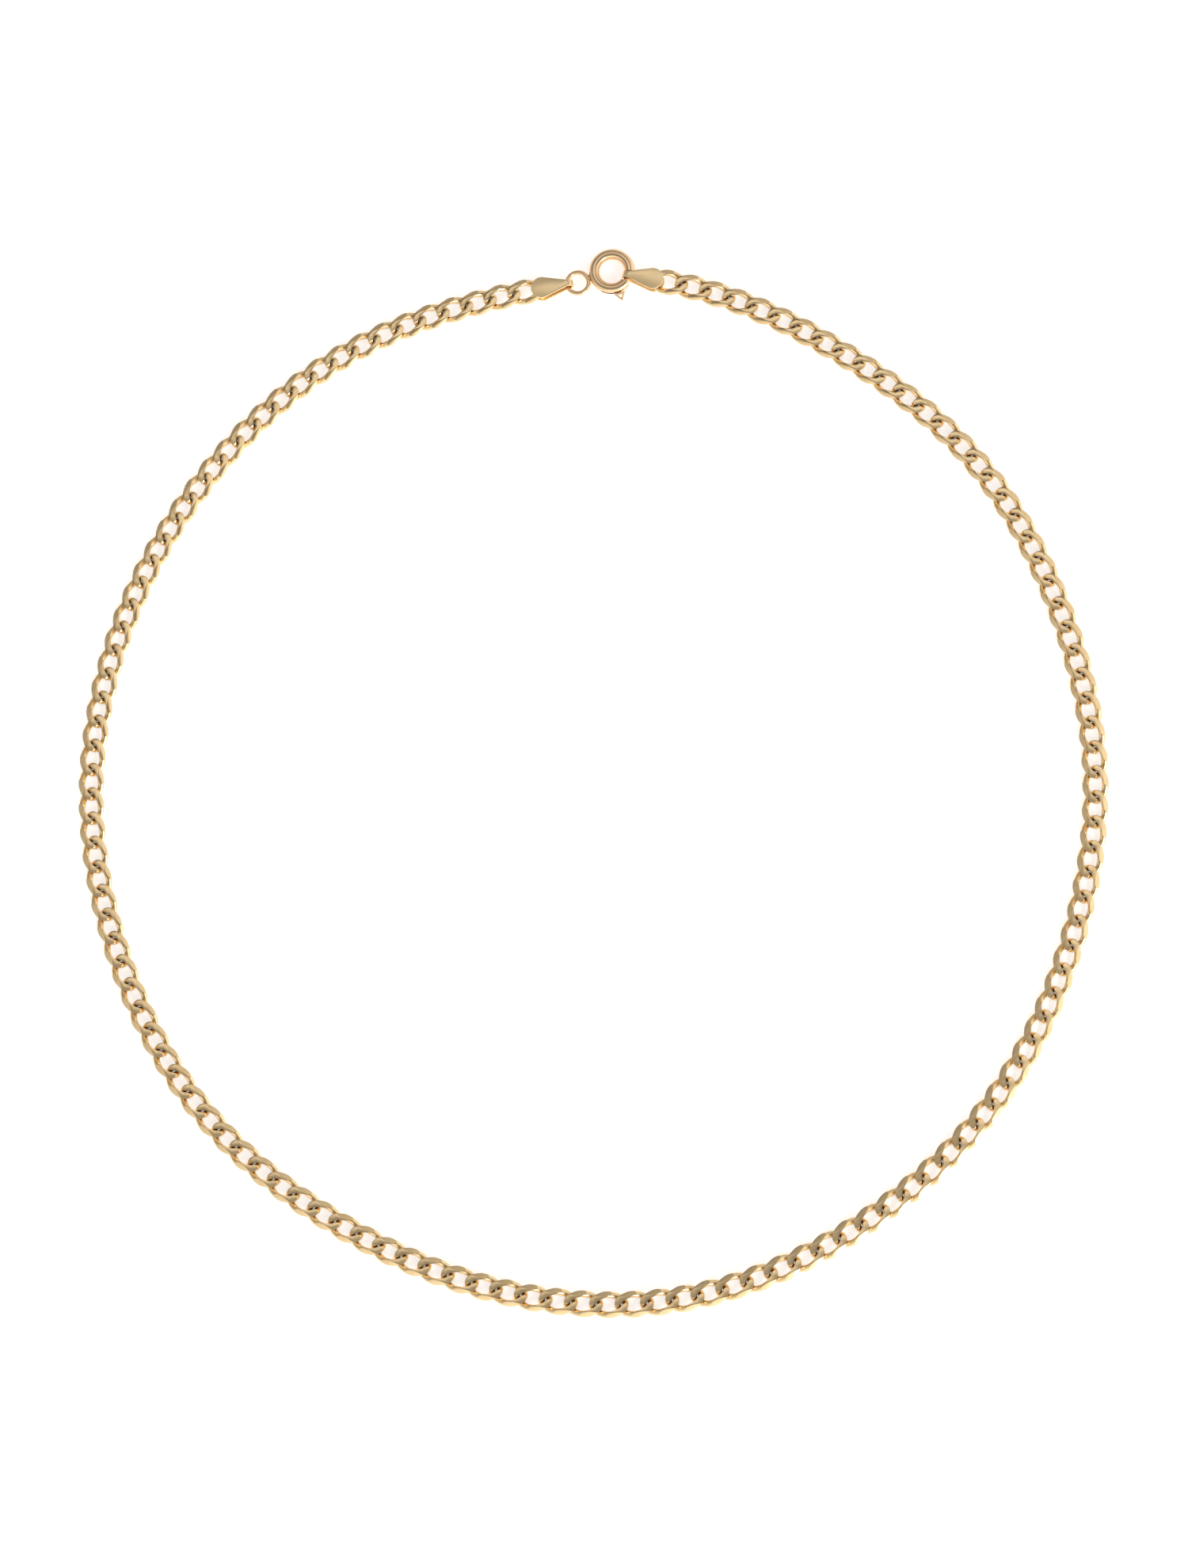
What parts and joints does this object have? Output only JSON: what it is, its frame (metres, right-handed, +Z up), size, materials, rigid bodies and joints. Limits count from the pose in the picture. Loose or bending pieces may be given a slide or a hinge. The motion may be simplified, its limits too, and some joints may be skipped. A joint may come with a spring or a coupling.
{
  "type": "curb chain necklace",
  "caption": "Flattened curb chain necklace laid as a closed loop, with two folded end tags and a spring-ring clasp.",
  "frame": {"origin": "middle of the loop's bounding box, on the plane that the necklace lies on", "axes": "+Z up from the plane, +Y towards the clasp, +X to the right with the bolt's mouth"},
  "size_m": [0.1314, 0.1378, 0.0018],
  "materials": {
    "chain_gold": "polished, flattened faces and bevels",
    "clasp_gold": "polished",
    "spring_steel": "bright drawn wire"
  },
  "bodies": {
    "clasp": {"clasp_ring_tube": "clasp_gold", "clasp_eye": "clasp_gold", "spring_stop": "clasp_gold", "bolt_spring": "spring_steel"},
    "bolt": {"clasp_bolt": "clasp_gold", "thumb_pin": "clasp_gold"},
    "left_tag": {"left_tag": "clasp_gold", "left_tag_post": "clasp_gold"},
    "links_01": {"links_01": "chain_gold"},
    "links_02": {"links_02": "chain_gold"},
    "links_03": {"links_03": "chain_gold"},
    "links_04": {"links_04": "chain_gold"},
    "links_05": {"links_05": "chain_gold"},
    "links_06": {"links_06": "chain_gold"},
    "links_07": {"links_07": "chain_gold"},
    "links_08": {"links_08": "chain_gold"},
    "links_09": {"links_09": "chain_gold"},
    "links_10": {"links_10": "chain_gold"},
    "links_11": {"links_11": "chain_gold"},
    "links_12": {"links_12": "chain_gold"},
    "links_13": {"links_13": "chain_gold"},
    "links_14": {"links_14": "chain_gold"},
    "links_15": {"links_15": "chain_gold"},
    "links_16": {"links_16": "chain_gold"},
    "links_17": {"links_17": "chain_gold"},
    "links_18": {"links_18": "chain_gold"},
    "links_19": {"links_19": "chain_gold"},
    "links_20": {"links_20": "chain_gold"},
    "links_21": {"links_21": "chain_gold"},
    "links_22": {"links_22": "chain_gold"},
    "links_23": {"links_23": "chain_gold"},
    "links_24": {"links_24": "chain_gold"},
    "links_25": {"links_25": "chain_gold"},
    "links_26": {"links_26": "chain_gold"},
    "links_27": {"links_27": "chain_gold"},
    "links_28": {"links_28": "chain_gold"},
    "links_29": {"links_29": "chain_gold"},
    "links_30": {"links_30": "chain_gold"},
    "links_31": {"links_31": "chain_gold"},
    "links_32": {"links_32": "chain_gold"},
    "links_33": {"links_33": "chain_gold"},
    "links_34": {"links_34": "chain_gold"},
    "links_35": {"links_35": "chain_gold"},
    "links_36": {"links_36": "chain_gold"},
    "links_37": {"links_37": "chain_gold"},
    "links_38": {"links_38": "chain_gold"},
    "links_39": {"links_39": "chain_gold"},
    "links_40": {"links_40": "chain_gold"},
    "links_41": {"links_41": "chain_gold"},
    "right_tag": {"right_tag": "clasp_gold", "right_tag_post": "clasp_gold"}
  },
  "joints": [
    {"name": "eye_hinge", "type": "hinge", "parent": "left_tag", "child": "clasp", "pos_m": [-0.00266, 0.06429, 0.0007], "axis": [0, 0, -1], "range_deg": [-5.08, 5.08]},
    {"name": "left_post_hinge", "type": "hinge", "parent": "links_01", "child": "left_tag", "pos_m": [-0.00672, 0.06366, 0.00052], "axis": [0, 0, -1], "range_deg": [-4.13, 4.13]},
    {"name": "bend_01_02", "type": "hinge", "parent": "links_02", "child": "links_01", "pos_m": [-0.01579, 0.06192, 0.00052], "axis": [0, 0, -1], "range_deg": [-2.63, 2.63]},
    {"name": "bend_02_03", "type": "hinge", "parent": "links_03", "child": "links_02", "pos_m": [-0.02487, 0.05903, 0.00052], "axis": [0, 0, -1], "range_deg": [-1.7, 1.7]},
    {"name": "loop_widen", "type": "hinge", "parent": "links_04", "child": "links_03", "pos_m": [-0.0334, 0.05479, 0.00052], "axis": [0, 0, -1], "range_deg": [-8.08, 8.08]},
    {"name": "clasp_fold", "type": "hinge", "parent": "links_05", "child": "links_04", "pos_m": [-0.04106, 0.04912, 0.00052], "axis": [-0.9996, 0.0278, 0], "range_deg": [-10, 10]},
    {"name": "bend_05_06", "type": "hinge", "parent": "links_06", "child": "links_05", "pos_m": [-0.04774, 0.04232, 0.00052], "axis": [0, 0, -1], "range_deg": [-7.34, 7.34]},
    {"name": "bend_06_07", "type": "hinge", "parent": "links_07", "child": "links_06", "pos_m": [-0.05342, 0.03466, 0.00052], "axis": [0, 0, -1], "range_deg": [-2.73, 2.73]},
    {"name": "bend_07_08", "type": "hinge", "parent": "links_08", "child": "links_07", "pos_m": [-0.05799, 0.0263, 0.00052], "axis": [0, 0, -1], "range_deg": [-1.7, 1.7]},
    {"name": "bend_08_09", "type": "hinge", "parent": "links_09", "child": "links_08", "pos_m": [-0.06136, 0.01738, 0.00052], "axis": [0, 0, -1], "range_deg": [-2.39, 2.39]},
    {"name": "bend_09_10", "type": "hinge", "parent": "links_10", "child": "links_09", "pos_m": [-0.06341, 0.00807, 0.00052], "axis": [0, 0, -1], "range_deg": [-5.99, 5.99]},
    {"name": "front_fold", "type": "hinge", "parent": "links_11", "child": "links_10", "pos_m": [-0.06401, -0.00144, 0.00052], "axis": [0.9997, -0.0229, 0], "range_deg": [-18, 18]},
    {"name": "bend_11_12", "type": "hinge", "parent": "links_12", "child": "links_11", "pos_m": [-0.06309, -0.01092, 0.00052], "axis": [0, 0, -1], "range_deg": [-1.7, 1.7]},
    {"name": "bend_12_13", "type": "hinge", "parent": "links_13", "child": "links_12", "pos_m": [-0.06081, -0.02018, 0.00052], "axis": [0, 0, -1], "range_deg": [-3.04, 3.04]},
    {"name": "bend_13_14", "type": "hinge", "parent": "links_14", "child": "links_13", "pos_m": [-0.05736, -0.02906, 0.00052], "axis": [0, 0, -1], "range_deg": [-3.48, 3.48]},
    {"name": "bend_14_15", "type": "hinge", "parent": "links_15", "child": "links_14", "pos_m": [-0.05274, -0.0374, 0.00052], "axis": [0, 0, -1], "range_deg": [-3.07, 3.07]},
    {"name": "bend_15_16", "type": "hinge", "parent": "links_16", "child": "links_15", "pos_m": [-0.04684, -0.04489, 0.00052], "axis": [0, 0, -1], "range_deg": [-1.7, 1.7]},
    {"name": "bend_16_17", "type": "hinge", "parent": "links_17", "child": "links_16", "pos_m": [-0.03977, -0.05128, 0.00052], "axis": [0, 0, -1], "range_deg": [-1.7, 1.7]},
    {"name": "bend_17_18", "type": "hinge", "parent": "links_18", "child": "links_17", "pos_m": [-0.03189, -0.05665, 0.00052], "axis": [0, 0, -1], "range_deg": [-1.7, 1.7]},
    {"name": "bend_18_19", "type": "hinge", "parent": "links_19", "child": "links_18", "pos_m": [-0.02346, -0.0611, 0.00052], "axis": [0, 0, -1], "range_deg": [-1.7, 1.7]},
    {"name": "bend_19_20", "type": "hinge", "parent": "links_20", "child": "links_19", "pos_m": [-0.01455, -0.06449, 0.00052], "axis": [0, 0, -1], "range_deg": [-2.1, 2.1]},
    {"name": "bend_20_21", "type": "hinge", "parent": "links_21", "child": "links_20", "pos_m": [-0.00526, -0.06661, 0.00052], "axis": [0, 0, -1], "range_deg": [-2.74, 2.74]},
    {"name": "bend_21_22", "type": "hinge", "parent": "links_21", "child": "links_22", "pos_m": [0.00425, -0.06728, 0.00052], "axis": [0, 0, 1], "range_deg": [-2.36, 2.36]},
    {"name": "bend_22_23", "type": "hinge", "parent": "links_22", "child": "links_23", "pos_m": [0.01372, -0.06628, 0.00052], "axis": [0, 0, 1], "range_deg": [-1.88, 1.88]},
    {"name": "bend_23_24", "type": "hinge", "parent": "links_23", "child": "links_24", "pos_m": [0.02284, -0.06353, 0.00052], "axis": [0, 0, 1], "range_deg": [-1.84, 1.84]},
    {"name": "bend_24_25", "type": "hinge", "parent": "links_24", "child": "links_25", "pos_m": [0.03141, -0.05935, 0.00052], "axis": [0, 0, 1], "range_deg": [-2.15, 2.15]},
    {"name": "bend_25_26", "type": "hinge", "parent": "links_25", "child": "links_26", "pos_m": [0.03933, -0.05404, 0.00052], "axis": [0, 0, 1], "range_deg": [-2.54, 2.54]},
    {"name": "bend_26_27", "type": "hinge", "parent": "links_26", "child": "links_27", "pos_m": [0.04642, -0.04768, 0.00052], "axis": [0, 0, 1], "range_deg": [-1.7, 1.7]},
    {"name": "bend_27_28", "type": "hinge", "parent": "links_27", "child": "links_28", "pos_m": [0.0524, -0.04026, 0.00052], "axis": [0, 0, 1], "range_deg": [-1.7, 1.7]},
    {"name": "bend_28_29", "type": "hinge", "parent": "links_28", "child": "links_29", "pos_m": [0.05708, -0.03196, 0.00052], "axis": [0, 0, 1], "range_deg": [-3.15, 3.15]},
    {"name": "bend_29_30", "type": "hinge", "parent": "links_29", "child": "links_30", "pos_m": [0.06057, -0.02308, 0.00052], "axis": [0, 0, 1], "range_deg": [-2.88, 2.88]},
    {"name": "bend_30_31", "type": "hinge", "parent": "links_30", "child": "links_31", "pos_m": [0.06293, -0.01385, 0.00052], "axis": [0, 0, 1], "range_deg": [-1.7, 1.7]},
    {"name": "front_fold_right", "type": "hinge", "parent": "links_31", "child": "links_32", "pos_m": [0.06399, -0.00437, 0.00052], "axis": [-0.9997, 0.0229, 0], "range_deg": [-18, 18]},
    {"name": "bend_32_33", "type": "hinge", "parent": "links_32", "child": "links_33", "pos_m": [0.06352, 0.00514, 0.00052], "axis": [0, 0, 1], "range_deg": [-5.59, 5.59]},
    {"name": "bend_33_34", "type": "hinge", "parent": "links_33", "child": "links_34", "pos_m": [0.06161, 0.01448, 0.00052], "axis": [0, 0, 1], "range_deg": [-2.95, 2.95]},
    {"name": "bend_34_35", "type": "hinge", "parent": "links_34", "child": "links_35", "pos_m": [0.05857, 0.02352, 0.00052], "axis": [0, 0, 1], "range_deg": [-1.7, 1.7]},
    {"name": "bend_35_36", "type": "hinge", "parent": "links_35", "child": "links_36", "pos_m": [0.05446, 0.03212, 0.00052], "axis": [0, 0, 1], "range_deg": [-3.15, 3.15]},
    {"name": "bend_36_37", "type": "hinge", "parent": "links_36", "child": "links_37", "pos_m": [0.04909, 0.03999, 0.00052], "axis": [0, 0, 1], "range_deg": [-7.1, 7.1]},
    {"name": "clasp_fold_right", "type": "hinge", "parent": "links_37", "child": "links_38", "pos_m": [0.04242, 0.0468, 0.00052], "axis": [0.9996, -0.0278, 0], "range_deg": [-10, 10]},
    {"name": "bend_38_39", "type": "hinge", "parent": "links_38", "child": "links_39", "pos_m": [0.03488, 0.05264, 0.00052], "axis": [0, 0, 1], "range_deg": [-5.12, 5.12]},
    {"name": "bend_39_40", "type": "hinge", "parent": "links_39", "child": "links_40", "pos_m": [0.02683, 0.05774, 0.00052], "axis": [0, 0, 1], "range_deg": [-5.16, 5.16]},
    {"name": "bend_40_41", "type": "hinge", "parent": "links_40", "child": "links_41", "pos_m": [0.01824, 0.06187, 0.00052], "axis": [0, 0, 1], "range_deg": [-1.7, 1.7]},
    {"name": "right_post_hinge", "type": "hinge", "parent": "links_41", "child": "right_tag", "pos_m": [0.00936, 0.06437, 0.00052], "axis": [0, 0, 1], "range_deg": [-6.52, 6.52]},
    {"name": "bolt_slide", "type": "hinge", "parent": "clasp", "child": "bolt", "pos_m": [0.00315, 0.0659, 0.0007], "axis": [0, 0, -1], "range_deg": [0, 42], "stiffness_Nm_per_rad": 0.0015, "springref_deg": -17.19, "deforming": ["bolt_spring"]}
  ],
  "couplings": [
    {"joint": "front_fold_right", "follows": "front_fold", "ratio": -1},
    {"joint": "clasp_fold_right", "follows": "clasp_fold", "ratio": -1},
    {"joint": "eye_hinge", "follows": "loop_widen", "ratio": -0.62808},
    {"joint": "left_post_hinge", "follows": "loop_widen", "ratio": -0.511},
    {"joint": "bend_01_02", "follows": "loop_widen", "ratio": -0.32559},
    {"joint": "bend_02_03", "follows": "loop_widen", "ratio": 0.21051},
    {"joint": "bend_05_06", "follows": "loop_widen", "ratio": -0.90842},
    {"joint": "bend_06_07", "follows": "loop_widen", "ratio": -0.33795},
    {"joint": "bend_07_08", "follows": "loop_widen", "ratio": 0.21051},
    {"joint": "bend_08_09", "follows": "loop_widen", "ratio": 0.29547},
    {"joint": "bend_09_10", "follows": "loop_widen", "ratio": 0.74084},
    {"joint": "bend_11_12", "follows": "loop_widen", "ratio": 0.21051},
    {"joint": "bend_12_13", "follows": "loop_widen", "ratio": 0.37597},
    {"joint": "bend_13_14", "follows": "loop_widen", "ratio": 0.43086},
    {"joint": "bend_14_15", "follows": "loop_widen", "ratio": 0.3799},
    {"joint": "bend_15_16", "follows": "loop_widen", "ratio": -0.2105},
    {"joint": "bend_16_17", "follows": "loop_widen", "ratio": -0.2105},
    {"joint": "bend_17_18", "follows": "loop_widen", "ratio": -0.21051},
    {"joint": "bend_18_19", "follows": "loop_widen", "ratio": -0.21051},
    {"joint": "bend_19_20", "follows": "loop_widen", "ratio": -0.26021},
    {"joint": "bend_20_21", "follows": "loop_widen", "ratio": -0.33863},
    {"joint": "bend_21_22", "follows": "loop_widen", "ratio": -0.29214},
    {"joint": "bend_22_23", "follows": "loop_widen", "ratio": -0.23304},
    {"joint": "bend_23_24", "follows": "loop_widen", "ratio": -0.22715},
    {"joint": "bend_24_25", "follows": "loop_widen", "ratio": -0.26604},
    {"joint": "bend_25_26", "follows": "loop_widen", "ratio": -0.3145},
    {"joint": "bend_26_27", "follows": "loop_widen", "ratio": 0.21051},
    {"joint": "bend_27_28", "follows": "loop_widen", "ratio": 0.21051},
    {"joint": "bend_28_29", "follows": "loop_widen", "ratio": 0.38915},
    {"joint": "bend_29_30", "follows": "loop_widen", "ratio": 0.3558},
    {"joint": "bend_30_31", "follows": "loop_widen", "ratio": 0.21051},
    {"joint": "bend_32_33", "follows": "loop_widen", "ratio": 0.69215},
    {"joint": "bend_33_34", "follows": "loop_widen", "ratio": 0.36519},
    {"joint": "bend_34_35", "follows": "loop_widen", "ratio": 0.21051},
    {"joint": "bend_35_36", "follows": "loop_widen", "ratio": -0.38922},
    {"joint": "bend_36_37", "follows": "loop_widen", "ratio": -0.87908},
    {"joint": "bend_38_39", "follows": "loop_widen", "ratio": 0.63326},
    {"joint": "bend_39_40", "follows": "loop_widen", "ratio": 0.63806},
    {"joint": "bend_40_41", "follows": "loop_widen", "ratio": -0.21051},
    {"joint": "right_post_hinge", "follows": "loop_widen", "ratio": -0.80664}
  ]
}
